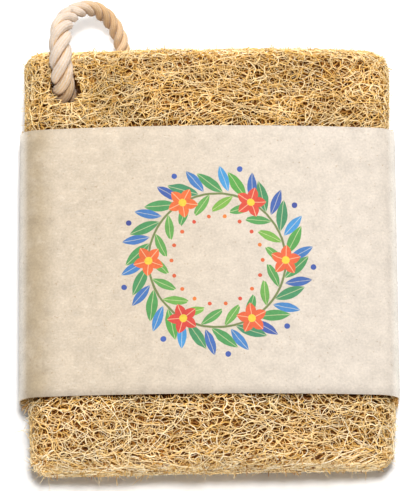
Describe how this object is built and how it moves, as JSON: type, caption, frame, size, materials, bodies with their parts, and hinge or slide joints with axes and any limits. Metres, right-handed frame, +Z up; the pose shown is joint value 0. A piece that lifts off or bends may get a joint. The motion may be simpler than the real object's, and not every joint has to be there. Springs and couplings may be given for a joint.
{
  "type": "loofah sponge pad",
  "caption": "Flat rectangular scrubbing pad of netted dried loofah fibre in a printed kraft-paper sleeve, with a laid cotton cord looped through a corner hole for hanging.",
  "frame": {"origin": "middle of the pad's resting plane, under the centre of the pad and its sleeve, the cord left out", "axes": "+X across the pad, +Y along the pad towards the hanging cord, +Z up out of the printed side"},
  "size_m": [0.1224, 0.1574, 0.0325],
  "materials": {
    "loofah": "dry matte plant fibre",
    "paper": "uncoated recycled kraft paper, matte",
    "cord": "undyed cotton, matte"
  },
  "bodies": {
    "root": {"loofah_pad": "loofah", "paper_sleeve": "paper", "hanging_cord": "cord"}
  },
  "joints": []
}
